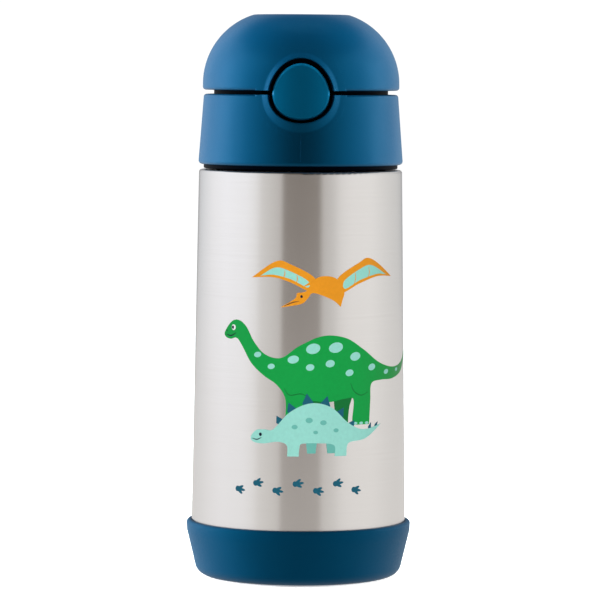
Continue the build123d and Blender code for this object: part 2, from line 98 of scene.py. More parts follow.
# ---------------------------------------------------------------- node helpers
def new_material(name):
    """An empty node material with one Principled shader. Returns the material, its tree and the shader."""
    material = bpy.data.materials.new(name)
    material.use_nodes = True
    tree = material.node_tree
    return material, tree, tree.nodes["Principled BSDF"]


def add_node(tree, kind, **values):
    """Adds a node and sets its attributes, or its input sockets where no attribute has that name."""
    node = tree.nodes.new(kind)
    for key, value in values.items():
        if hasattr(node, key):
            setattr(node, key, value)
        else:
            node.inputs[key.replace("_", " ")].default_value = value
    return node


def noise(tree, scale, stretch=(1, 1, 1), detail=3.0, roughness=0.5):
    """Noise in the object's own frame, in cells per metre, squeezed along each axis. Returns its factor."""
    place = tree.nodes.new("ShaderNodeTexCoord")
    mapping = tree.nodes.new("ShaderNodeMapping")
    mapping.inputs["Scale"].default_value = stretch
    texture = add_node(tree, "ShaderNodeTexNoise", Scale=scale, Detail=detail, Roughness=roughness)
    tree.links.new(place.outputs["Object"], mapping.inputs["Vector"])
    tree.links.new(mapping.outputs["Vector"], texture.inputs["Vector"])
    return texture.outputs["Fac"]


def remap(tree, source, low, high, from_low=0.25, from_high=0.75):
    """Maps a factor to a range of numbers."""
    node = add_node(tree, "ShaderNodeMapRange")
    node.inputs["From Min"].default_value = from_low
    node.inputs["From Max"].default_value = from_high
    node.inputs["To Min"].default_value = low
    node.inputs["To Max"].default_value = high
    tree.links.new(source, node.inputs["Value"])
    return node.outputs["Result"]


def two_tone(tree, source, first, second, from_low=0.3, from_high=0.7):
    """Blends two colours by a factor."""
    ramp = tree.nodes.new("ShaderNodeValToRGB")
    ramp.color_ramp.elements[0].position = from_low
    ramp.color_ramp.elements[0].color = (*first, 1)
    ramp.color_ramp.elements[1].position = from_high
    ramp.color_ramp.elements[1].color = (*second, 1)
    tree.links.new(source, ramp.inputs["Fac"])
    return ramp.outputs["Color"]


def bump(tree, shader, sources, strength=1.0):
    """Adds fine relief. sources are pairs of a factor and its depth in metres."""
    normal = None
    for source, depth in sources:
        node = add_node(tree, "ShaderNodeBump", Strength=strength, Distance=depth)
        tree.links.new(source, node.inputs["Height"])
        if normal is not None:
            tree.links.new(normal, node.inputs["Normal"])
        normal = node.outputs["Normal"]
    tree.links.new(normal, shader.inputs["Normal"])


# ---------------------------------------------------------------- materials
SATIN_MOTTLE = 1.12
INK_MOTTLE = 0.93


def steel_brushed():
    """Steel brushed round the body: long fine scratches, so its highlights run up and down."""
    material, tree, shader = new_material("steel_brushed")
    shader.inputs["Metallic"].default_value = 1.0
    shader.inputs["Anisotropic"].default_value = 0.85
    shader.inputs["Anisotropic Rotation"].default_value = 0.25
    tangent = add_node(tree, "ShaderNodeTangent", direction_type="RADIAL", axis="Z")
    tree.links.new(tangent.outputs["Tangent"], shader.inputs["Tangent"])
    scratches = noise(tree, scale=60, stretch=(0.5, 0.5, 120), detail=4.0, roughness=0.6)
    fine = noise(tree, scale=220, stretch=(0.4, 0.4, 90), detail=3.0, roughness=0.7)
    clouds = noise(tree, scale=26, stretch=(1, 1, 0.6), detail=2.0)
    colour = two_tone(tree, scratches, (0.735, 0.722, 0.712), (0.765, 0.755, 0.748))
    tree.links.new(colour, shader.inputs["Base Color"])
    spread = add_node(tree, "ShaderNodeMath", operation="ADD")
    tree.links.new(remap(tree, fine, low=0.19, high=0.27), spread.inputs[0])
    tree.links.new(remap(tree, clouds, low=-0.015, high=0.015), spread.inputs[1])
    tree.links.new(spread.outputs["Value"], shader.inputs["Roughness"])
    bump(tree, shader, [(scratches, 2e-6), (fine, 1e-6)])
    return material


def steel_satin(name, base, rough_low, rough_high):
    """Plain pressed or drawn steel, with faint draw lines and a soft mottle."""
    material, tree, shader = new_material(name)
    shader.inputs["Metallic"].default_value = 1.0
    lines = noise(tree, scale=90, stretch=(0.6, 0.6, 40), detail=3.0)
    mottle = noise(tree, scale=300, detail=2.0)
    lighter = tuple(min(1.0, channel * SATIN_MOTTLE) for channel in base)
    tree.links.new(two_tone(tree, mottle, base, lighter), shader.inputs["Base Color"])
    tree.links.new(remap(tree, lines, rough_low, rough_high), shader.inputs["Roughness"])
    bump(tree, shader, [(lines, 3e-6), (mottle, 4e-6)])
    return material


def moulded_plastic(name, deep, pale, roughness, grain, grain_depth, gloss, tint):
    """Satin moulded plastic: fine spark-eroded grain, faint flow clouds and a few light rub marks."""
    material, tree, shader = new_material(name)
    clouds = noise(tree, scale=45, detail=3.0)
    texture = noise(tree, scale=grain, detail=2.0, roughness=0.6)
    rub = noise(tree, scale=160, stretch=(1, 1, 3.5), detail=5.0, roughness=0.7)
    tree.links.new(two_tone(tree, clouds, deep, pale), shader.inputs["Base Color"])
    spread = add_node(tree, "ShaderNodeMath", operation="ADD")
    tree.links.new(remap(tree, texture, *roughness), spread.inputs[0])
    rubbed = remap(tree, rub, low=0.0, high=0.05, from_low=0.55, from_high=0.8)
    tree.links.new(rubbed, spread.inputs[1])
    tree.links.new(spread.outputs["Value"], shader.inputs["Roughness"])
    shader.inputs["IOR"].default_value = 1.49
    shader.inputs["Specular IOR Level"].default_value = gloss
    shader.inputs["Specular Tint"].default_value = (*tint, 1)
    bump(tree, shader, [(texture, grain_depth), (clouds, 2e-5)])
    return material


def silicone(name, deep, pale, clear=0.0, gloss=0.15, tint=(1, 1, 1)):
    """Soft matt rubber with a faint bloom. A clear one lets some light through."""
    material, tree, shader = new_material(name)
    clouds = noise(tree, scale=60, detail=3.0)
    skin = noise(tree, scale=1500, detail=2.0, roughness=0.6)
    tree.links.new(two_tone(tree, clouds, deep, pale), shader.inputs["Base Color"])
    tree.links.new(remap(tree, skin, low=0.40, high=0.52), shader.inputs["Roughness"])
    shader.inputs["IOR"].default_value = 1.42
    shader.inputs["Specular IOR Level"].default_value = gloss
    shader.inputs["Specular Tint"].default_value = (*tint, 1)
    shader.inputs["Transmission Weight"].default_value = clear
    bump(tree, shader, [(skin, 1.5e-5)])
    return material


def printed_ink(name, colour):
    """A thin film of screen-printed ink: an even colour, a slight mottle and some of the steel's shine."""
    material, tree, shader = new_material(name)
    shader.inputs["Metallic"].default_value = 0.35
    mottle = noise(tree, scale=900, detail=3.0)
    darker = tuple(channel * INK_MOTTLE for channel in colour)
    tree.links.new(two_tone(tree, mottle, darker, colour), shader.inputs["Base Color"])
    tree.links.new(remap(tree, mottle, low=0.34, high=0.42), shader.inputs["Roughness"])
    shader.inputs["Specular IOR Level"].default_value = 0.18
    bump(tree, shader, [(mottle, 4e-6)])
    return material


def make_materials():
    """One finish for each material slot of the record."""
    return {
        "steel_brushed": steel_brushed(),
        "steel_inner": steel_satin("steel_inner", (0.56, 0.56, 0.56), rough_low=0.30, rough_high=0.42),
        "spring_steel": steel_satin("spring_steel", (0.62, 0.62, 0.63), rough_low=0.18, rough_high=0.30),
        "pin_steel": steel_satin("pin_steel", (0.55, 0.55, 0.56), rough_low=0.20, rough_high=0.32),
        "blue_plastic": moulded_plastic(
            "blue_plastic",
            (0.0005, 0.042, 0.102),
            (0.0008, 0.048, 0.112),
            roughness=(0.31, 0.39),
            grain=1600,
            grain_depth=1.2e-5,
            gloss=0.9,
            tint=(0.02, 0.50, 1.0),
        ),
        # The button's blue is paler than the shell's. The extra lightness is painted light: it stands in for
        # the light from above that makes the button read brighter than the collar beside it.
        "button_plastic": moulded_plastic(
            "button_plastic",
            (0.0005, 0.105, 0.220),
            (0.0008, 0.115, 0.240),
            roughness=(0.28, 0.35),
            grain=2200,
            grain_depth=0.6e-5,
            gloss=0.9,
            tint=(0.02, 0.55, 1.0),
        ),
        # Near-black plastic for the insert, the lid's liner and the latch frame. Where it shows in the narrow
        # gaps round the collar, its near-black also serves as painted shade for those gaps.
        "dark_plastic": moulded_plastic(
            "dark_plastic",
            (0.0007, 0.0016, 0.0042),
            (0.0012, 0.0024, 0.0058),
            roughness=(0.45, 0.58),
            grain=1400,
            grain_depth=1.5e-5,
            gloss=0.06,
            tint=(0.1, 0.4, 1.0),
        ),
        # The boot's blue is a little paler than the shell's plastic. That extra lightness is painted light:
        # it stands in for the light that the floor throws back onto the boot.
        "blue_silicone": silicone(
            "blue_silicone",
            (0.0004, 0.052, 0.118),
            (0.0006, 0.058, 0.130),
            gloss=0.3,
            tint=(0.02, 0.55, 1.0),
        ),
        "clear_silicone": silicone("clear_silicone", (0.62, 0.68, 0.70), (0.70, 0.75, 0.77), clear=0.25),
        "straw_plastic": silicone("straw_plastic", (0.66, 0.72, 0.75), (0.72, 0.78, 0.80), clear=0.45),
        "seal_glass": steel_satin("seal_glass", (0.30, 0.31, 0.33), rough_low=0.15, rough_high=0.25),
        "getter_metal": steel_satin("getter_metal", (0.35, 0.35, 0.35), rough_low=0.55, rough_high=0.75),
    }


def dress_cad_nodes(materials):
    """Gives every CAD node the finish of its material slot."""
    for part in frame["record"]["subparts"]:
        mesh = frame["nodes"][part["node"]].data
        mesh.materials.clear()
        mesh.materials.append(materials[part["material_slot"]])


# ---------------------------------------------------------------- lid and collar with a raised lip
# the outer skins, in mm; a point of a profile is its height and its radius
COLLAR_BASE = (139.8, 34.72)
COLLAR_RIM = (163.5, 32.92)
DOME_SIDE = 33.3
DOME_ARC_MIDDLE = (167.0, 8.82)
DOME_ARC_RADIUS = 24.48

# the button's recess, in mm: its middle's height, half its width and height, and the round of its rim. The
# lobe is how far the outline departs from an ellipse, as a share.
RECESS_MIDDLE = 164.55
RECESS_HALF = (10.4, 10.7)
RECESS_LOBE = 0.032
RIM_ROUND = 1.0

# the lip, in mm: skin in front of FRONT_Y and no deeper than SKIN_DEPTH is lifted. Each width is given at the
# button's sides and under it.
FRONT_Y = -25.0
SKIN_DEPTH = 1.55
SKIN_SLACK = 0.06
LIP_HEIGHT = 0.85
LIP_CURVE = 1.1
LIP_WIDTH = {"lid_shell": (2.0, 2.0), "collar_shell": (2.6, 3.1)}
LIP_REACH = 4.6
ROUND_END = 0.9
ROUND_KEPT = 0.12

# the mesh near the lip is split until its edges are no longer than this, in mm
FINE_EDGE = 0.35
SPLIT_PASSES = 8

# creases that stay sharp; the webs of the hinge, which is behind HINGE_FRONT, meet the walls at low angles
SHARP_CREASE = radians(35)
HINGE_CREASE = radians(12)
HINGE_FRONT = 28.0

# the mould line, in mm: its ends' heights, half its width and how far it stands out
MOULD_LINE = (141.4, 150.2)
MOULD_HALF = 0.16
MOULD_RISE = 0.06
BODY_OF = {"lid_shell": "lid", "collar_shell": "lid_base"}


def skin_radius(node, z):
    """Radius of the collar's or dome's outer skin at a height, in mm."""
    if node == "collar_shell":
        share = (z - COLLAR_BASE[0]) / (COLLAR_RIM[0] - COLLAR_BASE[0])
        return COLLAR_BASE[1] + share * (COLLAR_RIM[1] - COLLAR_BASE[1])
    if z <= DOME_ARC_MIDDLE[0]:
        return DOME_SIDE
    return DOME_ARC_MIDDLE[1] + max(DOME_ARC_RADIUS**2 - (z - DOME_ARC_MIDDLE[0]) ** 2, 0.0) ** 0.5


def recess_distance(x, z):
    """How far a point on the front is outside the button's recess, in mm."""
    across, up = x / RECESS_HALF[0], (z - RECESS_MIDDLE) / RECESS_HALF[1]
    reach = (across**2 + up**2) ** 0.5
    angle = atan2(up, across)
    edge = 1 - RECESS_LOBE * sin(3 * angle)
    return (reach - edge) * (RECESS_HALF[0] + RECESS_HALF[1]) / 2


def lip_width(node, x, z):
    """Width of the raised lip, in mm. It is wider on the collar, most of all under the button."""
    low = max(0.0, -sin(atan2(z - RECESS_MIDDLE, x)))
    side, bottom = LIP_WIDTH[node]
    return side + (bottom - side) * low**2


def tighter_round(depth):
    """The depth of a point on the recess's rim, in mm, when the rim's round is made tighter."""
    if depth < ROUND_END:
        return depth * ROUND_KEPT
    share = (depth - ROUND_END) / (SKIN_DEPTH - ROUND_END)
    return ROUND_END * ROUND_KEPT + share * (SKIN_DEPTH - ROUND_END * ROUND_KEPT)


def skin_depth(node, vert):
    """How far a vertex lies under the outer skin, in mm."""
    x, y, z = vert.co / MM
    return skin_radius(node, z) - (x * x + y * y) ** 0.5


def near_recess(node, vert):
    """True for a vertex of the outer skin near the button, the recess's own rim included."""
    x, y, z = vert.co / MM
    return y < FRONT_Y and recess_distance(x, z) < LIP_REACH and skin_depth(node, vert) < SKIN_DEPTH


def split_near_recess(bm, node):
    """Splits the edges near the button until they are short enough for the lip's curve."""
    for _ in range(SPLIT_PASSES):
        wide = [
            edge
            for edge in bm.edges
            if edge.calc_length() > FINE_EDGE * MM and any(near_recess(node, vert) for vert in edge.verts)
        ]
        if not wide:
            break
        bmesh.ops.subdivide_edges(bm, edges=wide, cuts=1)
        bmesh.ops.triangulate(bm, faces=bm.faces[:])


def raise_lip(bm, node):
    """Lifts the skin near the button into the lip, and makes the round of the recess's rim tighter."""
    for vert in bm.verts:
        if not near_recess(node, vert):
            continue
        x, y, z = vert.co / MM
        away = recess_distance(x, z)
        depth = skin_depth(node, vert)
        if away > RIM_ROUND and depth < SKIN_SLACK:
            depth = 0.0
        depth = tighter_round(depth)
        climb = min(max(1 - away / lip_width(node, x, z), 0.0), 1.0)
        depth -= LIP_HEIGHT * climb**LIP_CURVE * (1 - depth / SKIN_DEPTH)
        scale = (skin_radius(node, z) - depth) / (x * x + y * y) ** 0.5
        vert.co.x *= scale
        vert.co.y *= scale


def is_hinge_crease(edge):
    """True for an edge at the hinge whose two faces meet at more than a curve's small step."""
    at_hinge = min(vert.co.y for vert in edge.verts) > HINGE_FRONT * MM
    return at_hinge and edge.calc_face_angle(0.0) > HINGE_CREASE


def add_lip(node):
    """The shell with a raised rounded lip round the button's recess."""
    source = frame["nodes"][node]
    bm = bmesh.new()
    bm.from_mesh(source.data)
    bmesh.ops.remove_doubles(bm, verts=bm.verts[:], dist=WELD)
    bmesh.ops.triangulate(bm, faces=bm.faces[:])
    split_near_recess(bm, node)
    raise_lip(bm, node)
    bm.normal_update()
    bm.edges.index_update()
    hinge_creases = [edge.index for edge in bm.edges if is_hinge_crease(edge)]
    mesh = bpy.data.meshes.new(f"{node}_with_lip")
    bm.to_mesh(mesh)
    bm.free()
    mesh.polygons.foreach_set("use_smooth", [True] * len(mesh.polygons))
    mesh.set_sharp_from_angle(angle=SHARP_CREASE)
    for k in hinge_creases:
        mesh.edges[k].use_edge_sharp = True
    mesh.materials.append(source.data.materials[0])
    shell = bpy.data.objects.new(f"{node}_with_lip", mesh)
    bpy.context.collection.objects.link(shell)
    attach(shell, BODY_OF[node])
    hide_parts(node)
    return shell


def add_mould_line():
    """The faint upright line that the mould leaves on the front of the collar."""
    corners = []
    for z in (MOULD_LINE[0], MOULD_LINE[1]):
        radius = skin_radius("collar_shell", z)
        for across, out in ((-MOULD_HALF, -MOULD_HALF), (0.0, MOULD_RISE), (MOULD_HALF, -MOULD_HALF)):
            corners.append((across * MM, -(radius + out) * MM, z * MM))
    faces = [(0, 1, 4, 3), (1, 2, 5, 4), (2, 0, 3, 5), (2, 1, 0), (3, 4, 5)]
    mesh = bpy.data.meshes.new("mould_line")
    mesh.from_pydata(corners, [], faces)
    mesh.materials.append(frame["nodes"]["collar_shell"].data.materials[0])
    line = bpy.data.objects.new("mould_line", mesh)
    bpy.context.collection.objects.link(line)
    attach(line, "lid_base")


# ---------------------------------------------------------------- grip rings under the boot
# in mm; the ceiling of the boot's recess is found below FOOT_RECESS_TOP and inside FOOT_RECESS_REACH
FOOT_RECESS_TOP = 2.0
FOOT_RECESS_REACH = 30.0
GRIP_RADII = (9.0, 14.0, 19.0)
GRIP_HALF_WIDTH = 0.9
GRIP_DROP = 0.45
GRIP_ROOT = 0.15
GRIP_STEPS = 96
GRIP_ARC_STEPS = 6


def add_grip_rings():
    """Low rounded rings moulded in the recess under the boot."""
    foot = frame["nodes"]["silicone_boot"].data
    inner = [vert.co for vert in foot.vertices if vert.co.xy.length < FOOT_RECESS_REACH * MM]
    ceiling = max(co.z for co in inner if co.z < FOOT_RECESS_TOP * MM) / MM
    bm = bmesh.new()
    for radius in GRIP_RADII:
        profile = [(radius - GRIP_HALF_WIDTH, ceiling + GRIP_ROOT)]
        for step in range(GRIP_ARC_STEPS + 1):
            angle = pi * step / GRIP_ARC_STEPS
            profile.append((radius - GRIP_HALF_WIDTH * cos(angle), ceiling - GRIP_DROP * sin(angle)))
        profile.append((radius + GRIP_HALF_WIDTH, ceiling + GRIP_ROOT))
        loops = []
        for step in range(GRIP_STEPS):
            turn = 2 * pi * step / GRIP_STEPS
            places = [(r * cos(turn) * MM, r * sin(turn) * MM, z * MM) for r, z in profile]
            loops.append([bm.verts.new(place) for place in places])
        for k, here in enumerate(loops):
            there = loops[(k + 1) % GRIP_STEPS]
            for a in range(len(profile)):
                b = (a + 1) % len(profile)
                bm.faces.new((here[a], here[b], there[b], there[a]))
    bmesh.ops.recalc_face_normals(bm, faces=bm.faces[:])
    mesh = bpy.data.meshes.new("grip_rings")
    bm.to_mesh(mesh)
    bm.free()
    mesh.polygons.foreach_set("use_smooth", [True] * len(mesh.polygons))
    mesh.materials.append(foot.materials[0])
    rings = bpy.data.objects.new("grip_rings", mesh)
    bpy.context.collection.objects.link(rings)
    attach(rings, "flask")


def spring_copy(node):
    """A spring of its own mesh, in the place of the CAD one, which can change its shape."""
    spring = bpy.data.objects.new(f"{node}_wound", frame["nodes"][node].data.copy())
    bpy.context.collection.objects.link(spring)
    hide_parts(node)
    return spring


def add_button_spring():
    """A copy of the button's spring, on the lid base, with a mesh of its own."""
    spring = spring_copy("button_spring")
    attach(spring, "lid_base")
    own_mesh(spring)


def add_lid_spring():
    """A copy of the hinge spring, with its place baked into its mesh."""
    spring = spring_copy("lid_spring")
    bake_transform(spring)


# ---------------------------------------------------------------- printed pictures
# in mm; a picture's points are (u, z): the way round the steel from the front, and the height
STEEL_FOOT = (17.5, 36.42)
STEEL_TOP = (138.0, 34.45)
INK_SUNK = 0.03
CURVE_STEPS = 10
BEND_STEP = 1.2
BRUSH_END = 0.35


def steel_radius(z):
    """Radius of the tapered steel wall at a height, in mm."""
    share = (z - STEEL_FOOT[0]) / (STEEL_TOP[0] - STEEL_FOOT[0])
    return STEEL_FOOT[1] + share * (STEEL_TOP[1] - STEEL_FOOT[1])


def smooth_outline(points):
    """A closed smooth curve through points (u, z), in mm. A third value of 0 makes that point a corner."""
    count = len(points)
    out = []
    for k in range(count):
        before, start, end, after = (points[(k + step) % count] for step in (-1, 0, 1, 2))
        sharp_start = len(start) > 2
        sharp_end = len(end) > 2
        for step in range(CURVE_STEPS):
            t = step / CURVE_STEPS
            place = []
            for axis in (0, 1):
                chord = end[axis] - start[axis]
                leave = chord if sharp_start else (end[axis] - before[axis]) / 2
                arrive = chord if sharp_end else (after[axis] - start[axis]) / 2
                place.append(
                    start[axis] * (2 * t**3 - 3 * t**2 + 1)
                    + leave * (t**3 - 2 * t**2 + t)
                    + end[axis] * (3 * t**2 - 2 * t**3)
                    + arrive * (t**3 - t**2)
                )
            out.append(tuple(place))
    return out


def oval(u, z, half_u, half_z, turn=0.0, points=24):
    """An oval outline, turned anticlockwise by degrees."""
    c, s = cos(radians(turn)), sin(radians(turn))
    out = []
    for step in range(points):
        angle = 2 * pi * step / points
        a, b = half_u * cos(angle), half_z * sin(angle)
        out.append((u + a * c - b * s, z + a * s + b * c))
    return out


def stroke(points, width):
    """A tapering brush line along a smooth open path of (u, z) points."""
    path = smooth_outline([(*points[0][:2], 0), *points[1:-1], (*points[-1][:2], 0)])
    path = path[: CURVE_STEPS * (len(points) - 1) + 1]
    left, right = [], []
    for k, (u, z) in enumerate(path):
        ahead = path[min(k + 1, len(path) - 1)]
        behind = path[max(k - 1, 0)]
        along = Vector((ahead[0] - behind[0], ahead[1] - behind[1])).normalized()
        half = width / 2 * (BRUSH_END + (1 - BRUSH_END) * sin(pi * k / (len(path) - 1)))
        left.append((u - along.y * half, z + along.x * half))
        right.append((u + along.y * half, z - along.x * half))
    return left + right[::-1]


def ink_shape(bm, outline, height, slot):
    """Adds a thin closed slab of ink in this outline, bent round the steel, standing height mm proud."""
    flat = bmesh.new()
    rim = [flat.verts.new((u, 0, z)) for u, z in outline]
    for triangle in tessellate_polygon([[vert.co for vert in rim]]):
        flat.faces.new([rim[k] for k in triangle])
    u_low = min(u for u, z in outline)
    u_high = max(u for u, z in outline)
    cut = u_low + BEND_STEP
    while cut < u_high:
        geometry = flat.verts[:] + flat.edges[:] + flat.faces[:]
        bmesh.ops.bisect_plane(flat, geom=geometry, plane_co=(cut, 0, 0), plane_no=(1, 0, 0))
        cut += BEND_STEP
    flat.verts.index_update()
    layers = []
    for lift in (height, -INK_SUNK):
        ring = []
        for vert in flat.verts:
            u, z = vert.co.x, vert.co.z
            radius = steel_radius(z) + lift
            angle = u / steel_radius(z)
            ring.append(bm.verts.new((radius * sin(angle) * MM, -radius * cos(angle) * MM, z * MM)))
        layers.append(ring)
    for face in flat.faces:
        corners = [vert.index for vert in face.verts]
        bm.faces.new([layers[0][k] for k in corners]).material_index = slot
        bm.faces.new([layers[1][k] for k in reversed(corners)]).material_index = slot
    for edge in flat.edges:
        if len(edge.link_faces) == 1:
            a, b = (vert.index for vert in edge.verts)
            bm.faces.new((layers[0][a], layers[0][b], layers[1][b], layers[1][a])).material_index = slot
    flat.free()


def add_print(name, shapes, inks):
    """One printed picture: shapes are (outline, height in mm, ink name), from the back layer forward."""
    names = sorted({shape[2] for shape in shapes})
    bm = bmesh.new()
    for outline, height, ink in shapes:
        ink_shape(bm, outline, height, names.index(ink))
    bmesh.ops.recalc_face_normals(bm, faces=bm.faces[:])
    mesh = bpy.data.meshes.new(name)
    bm.to_mesh(mesh)
    bm.free()
    for ink in names:
        mesh.materials.append(inks[ink])
    picture = bpy.data.objects.new(name, mesh)
    bpy.context.collection.objects.link(picture)
    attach(picture, "flask")
    return picture


def longneck_shapes():
    """A smiling long-necked animal with round spots."""
    far_leg, skin, mark, pupil = 0.030, 0.045, 0.060, 0.075
    body = [
        (-27.5, 84.5), (-24.5, 88.0), (-21.5, 88.6), (-18.5, 86.5), (-15.5, 81.5), (-11.5, 77.5),
        (-6.0, 76.5), (0.0, 80.5), (8.0, 83.8), (16.0, 83.0), (23.0, 79.0), (30.0, 74.5),
        (38.0, 72.5), (46.0, 73.5), (53.0, 77.0, 0), (46.0, 70.8), (38.0, 68.6), (31.0, 68.5),
        (26.5, 67.5), (26.0, 62.0), (25.6, 55.6), (25.4, 54.0, 0), (18.8, 54.0, 0), (18.6, 56.0),
        (19.0, 62.5), (15.5, 62.8), (10.0, 61.8), (4.0, 62.3), (2.6, 61.0), (2.2, 56.0),
        (2.0, 54.0, 0), (-4.4, 54.0, 0), (-4.5, 56.0), (-4.6, 63.0), (-7.5, 67.5), (-12.0, 70.5),
        (-16.5, 74.5), (-20.0, 80.0), (-22.3, 82.6), (-25.0, 82.2), (-27.2, 82.9),
    ]
    far_fore = [
        (4.2, 64.0), (9.8, 64.0), (9.2, 60.0), (9.0, 56.2),
        (9.0, 55.0, 0), (4.0, 55.0, 0), (4.1, 57.0),
    ]
    far_hind = [
        (12.2, 65.0), (18.4, 65.0), (17.4, 60.0), (17.0, 56.4),
        (17.0, 55.0, 0), (12.0, 55.0, 0), (12.2, 57.5),
    ]
    shapes = [
        (smooth_outline(far_fore), far_leg, "deep_green"),
        (smooth_outline(far_hind), far_leg, "deep_green"),
        (smooth_outline(body), skin, "green"),
    ]
    # each spot: its place and its half sizes
    spots = [
        (-14.2, 77.4, 1.3, 0.9), (-9.4, 73.6, 1.2, 0.9), (-2.0, 76.0, 1.9, 1.3), (4.6, 79.6, 2.4, 1.7),
        (3.6, 73.4, 1.4, 1.1), (12.4, 79.9, 2.5, 1.7), (10.4, 74.6, 1.6, 1.2), (19.6, 76.8, 2.0, 1.4),
        (17.4, 71.4, 1.5, 1.1), (26.6, 73.0, 1.6, 1.1), (34.0, 71.1, 1.3, 0.8), (41.2, 71.4, 1.0, 0.6),
    ]
    for u, z, half_u, half_z in spots:
        shapes.append((oval(u, z, half_u, half_z, turn=12), mark, "mint"))
    smile = [(-26.7, 83.6), (-24.6, 83.3), (-22.6, 84.3)]
    elbow = [(-5.0, 66.5), (-3.2, 64.2), (0.6, 64.6), (3.4, 63.4)]
    knee = [(17.8, 68.0), (19.2, 65.2), (22.0, 63.8), (25.0, 64.8)]
    shapes.append((stroke(smile, width=0.42), mark, "navy"))
    shapes.append((oval(-23.6, 86.1, 0.85, 0.95), mark, "white"))
    shapes.append((oval(-23.9, 86.1, 0.45, 0.55), pupil, "navy"))
    shapes.append((oval(-26.6, 84.9, 0.22, 0.30), mark, "navy"))
    for toe in (-3.4, -1.2, 1.0, 19.8, 22.1, 24.4):
        shapes.append((oval(toe, 54.5, 0.75, 0.45), mark, "mint"))
    shapes.append((stroke(elbow, width=0.35), mark, "deep_green"))
    shapes.append((stroke(knee, width=0.35), mark, "deep_green"))
    return shapes


def plated_shapes():
    """A small armoured animal with a row of plates on its back."""
    plate, far_leg, skin, mark = 0.080, 0.084, 0.095, 0.110
    body = [
        (-16.5, 50.0), (-14.5, 52.3), (-11.5, 52.6), (-8.5, 52.8), (-3.0, 58.5), (4.0, 61.5),
        (11.0, 60.0), (17.0, 54.8), (23.0, 52.4), (31.0, 53.8, 0), (24.0, 49.4), (18.0, 48.4),
        (16.6, 47.0), (16.4, 43.8, 0), (12.2, 43.8, 0), (11.8, 47.5), (6.0, 48.2), (1.0, 48.0),
        (0.2, 46.5), (0.0, 43.8, 0), (-3.8, 43.8, 0), (-4.0, 47.5), (-7.0, 48.6), (-12.0, 47.9),
        (-15.6, 48.4),
    ]
    # each plate: its place, half its width, its height and its lean in degrees
    plates = [
        (-6.2, 55.0, 1.3, 2.6, 30), (-2.2, 58.6, 1.6, 3.4, 22), (3.0, 60.8, 1.9, 4.0, 6),
        (8.6, 60.2, 1.8, 3.8, -14), (13.6, 57.2, 1.5, 3.2, -32), (18.0, 53.8, 1.1, 2.3, -38),
        (25.6, 52.6, 0.6, 2.0, -22), (28.4, 53.2, 0.5, 1.8, -40),
    ]
    shapes = []
    for u, z, half, tall, lean in plates:
        c, s = cos(radians(lean)), sin(radians(lean))
        kite = [(0, -tall * 0.5), (half, 0.2 * tall), (0, tall), (-half, 0.2 * tall)]
        shapes.append(([(u + a * c - b * s, z + a * s + b * c) for a, b in kite], plate, "teal"))
    for u, z in ((2.6, 44.8), (9.4, 44.8)):
        leg = [(u, 49.4), (u + 3.2, 49.4), (u + 3.0, z, 0), (u + 0.2, z, 0)]
        shapes.append((smooth_outline(leg), far_leg, "deep_mint"))
    shapes.append((smooth_outline(body), skin, "mint"))
    # each spot: its place and half its width
    spots = [(-1.4, 53.6, 1.0), (3.4, 55.8, 1.2), (8.2, 55.0, 1.1), (12.6, 52.4, 0.9), (5.6, 51.8, 0.8)]
    for u, z, size in spots:
        shapes.append((oval(u, z, size, size * 0.75), mark, "deep_mint"))
    smile = [(-16.0, 49.5), (-14.2, 49.2), (-12.6, 49.9)]
    shapes.append((oval(-13.0, 50.9, 0.50, 0.60), mark, "navy"))
    shapes.append((stroke(smile, width=0.35), mark, "navy"))
    return shapes


def flyer_shapes():
    """A gliding animal with skin wings and a crest."""
    wing, web, bone, mark = 0.035, 0.050, 0.065, 0.080
    left_wing = [
        (5.0, 103.0), (-3.0, 107.5), (-8.0, 108.5), (-16.5, 103.0, 0),
        (-9.0, 103.2), (-3.0, 101.5), (4.0, 98.5),
    ]
    right_wing = [
        (13.0, 103.0), (21.0, 108.0), (26.0, 109.2), (37.0, 103.0, 0),
        (29.0, 103.2), (21.0, 101.0), (14.0, 98.0),
    ]
    left_web = [
        (2.5, 102.2), (-3.6, 105.4), (-8.2, 106.4), (-13.4, 103.6, 0),
        (-8.8, 104.0), (-3.0, 102.6), (2.6, 99.9),
    ]
    right_web = [
        (15.4, 102.2), (21.4, 105.9), (26.2, 107.0), (33.6, 103.7, 0),
        (28.8, 104.0), (21.4, 102.2), (15.6, 99.4),
    ]
    body = [
        (3.2, 101.6), (7.4, 103.6), (12.4, 102.8), (15.2, 98.6), (14.6, 95.6), (14.0, 93.4, 0),
        (11.6, 95.4), (7.6, 97.2), (4.2, 98.0), (2.6, 96.2), (0.4, 94.4), (-6.4, 93.2, 0),
        (-1.6, 96.2), (-0.8, 98.0), (2.0, 98.6), (5.2, 101.4, 0), (1.4, 100.2),
    ]
    smile = [(-5.2, 93.7), (-2.4, 94.9), (-0.2, 95.3)]
    shapes = [
        (smooth_outline(left_wing), wing, "orange"),
        (smooth_outline(right_wing), wing, "orange"),
        (smooth_outline(left_web), web, "mint"),
        (smooth_outline(right_web), web, "mint"),
        (smooth_outline(body), bone, "orange"),
        (oval(0.6, 96.9, 0.42, 0.50), mark, "navy"),
        (stroke(smile, width=0.28), mark, "navy"),
    ]
    fingers = [((-1.0, 104.0), (-1.2, 101.2)), ((-5.0, 105.6), (-5.6, 102.8)), ((19.4, 104.6), (19.0, 101.0))]
    for start, end in fingers:
        middle = ((start[0] + end[0]) / 2 + 0.3, (start[1] + end[1]) / 2)
        shapes.append((stroke([start, middle, end], width=0.30), bone, "orange"))
    last_finger = [(25.0, 106.4), (25.2, 104.4), (24.6, 102.6)]
    shapes.append((stroke(last_finger, width=0.30), bone, "orange"))
    return shapes


